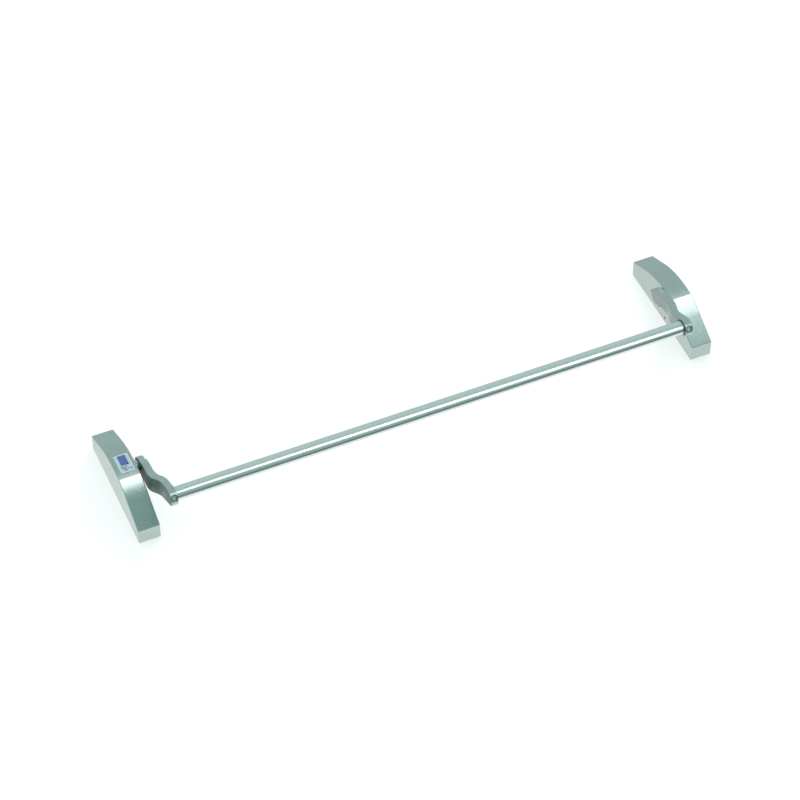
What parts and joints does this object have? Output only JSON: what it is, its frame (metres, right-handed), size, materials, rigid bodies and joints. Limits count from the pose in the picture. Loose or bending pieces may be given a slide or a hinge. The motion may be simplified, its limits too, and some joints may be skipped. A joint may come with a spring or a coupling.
{
  "type": "panic exit bar",
  "caption": "Horizontal push bar on two swinging arms between satin steel cases, turning a lock spindle in the active case when pushed.",
  "frame": {"origin": "centre of the rectangle of door-screw holes, on the mounting plane", "axes": "+X along the bar from the active to the passive case, +Y towards the cases' upper ends when hung on a door, +Z out of the door face"},
  "size_m": [1.1, 0.2602, 0.1234],
  "materials": {
    "satin_steel": "satin-brushed stainless cover",
    "brushed_tube": "satin tube, brushed round its girth",
    "cast_satin": "satin cast steel",
    "zinc_steel": "zinc-plated",
    "bright_steel": "ground bright",
    "screw_steel": "blackened screw steel",
    "spring_steel": "oiled spring wire",
    "bronze": "sintered bronze",
    "rubber": "matt black",
    "badge_white": "printed film with a blue field"
  },
  "bodies": {
    "cases": {"active_cover": "satin_steel", "active_base_plate": "zinc_steel", "active_cover_screws": "screw_steel", "active_pivot_bracket": "zinc_steel", "active_bracket_rivets": "zinc_steel", "active_pivot_bushes": "bronze", "active_stop_pin": "screw_steel", "active_stop_bumper": "rubber", "active_return_spring": "spring_steel", "passive_cover": "satin_steel", "passive_base_plate": "zinc_steel", "passive_cover_screws": "screw_steel", "passive_pivot_bracket": "zinc_steel", "passive_bracket_rivets": "zinc_steel", "passive_pivot_bushes": "bronze", "passive_stop_pin": "screw_steel", "passive_stop_bumper": "rubber", "passive_return_spring": "spring_steel", "active_guide_studs": "zinc_steel", "active_badge_plate": "badge_white"},
    "push_bar": {"active_pivot_shaft": "bright_steel", "active_crank": "zinc_steel", "active_drive_pin": "bright_steel", "active_arm": "cast_satin", "passive_pivot_shaft": "bright_steel", "passive_crank": "zinc_steel", "passive_drive_pin": "bright_steel", "passive_arm": "cast_satin", "bar_tube": "brushed_tube", "bar_set_screws": "bright_steel", "crank_pins": "screw_steel", "arm_pins": "screw_steel", "shaft_clips": "spring_steel", "pivot_washers": "bright_steel"},
    "drive_slider": {"active_drive_slider": "zinc_steel"},
    "spindle_hub": {"active_spindle_hub": "zinc_steel", "active_hub_pin": "bright_steel"}
  },
  "joints": [
    {"name": "bar_swing", "type": "hinge", "parent": "cases", "child": "push_bar", "pos_m": [0, 0, 0.0576], "axis": [1, 0, 0], "range_deg": [0, 18], "stiffness_Nm_per_rad": 8, "springref_deg": -28.65, "deforming": ["active_return_spring", "passive_return_spring"]},
    {"name": "slider_travel", "type": "slide", "parent": "cases", "child": "drive_slider", "axis": [0, 1, 0], "range_m": [0, 0.00945]},
    {"name": "spindle_turn", "type": "hinge", "parent": "cases", "child": "spindle_hub", "pos_m": [-0.53, 0.07, 0], "axis": [0, 0, 1], "range_deg": [0, 45.2]}
  ],
  "couplings": [
    {"joint": "slider_travel", "follows": "bar_swing", "m_per_rad": 0.029877},
    {"joint": "spindle_turn", "follows": "bar_swing", "ratio": 2.5}
  ]
}
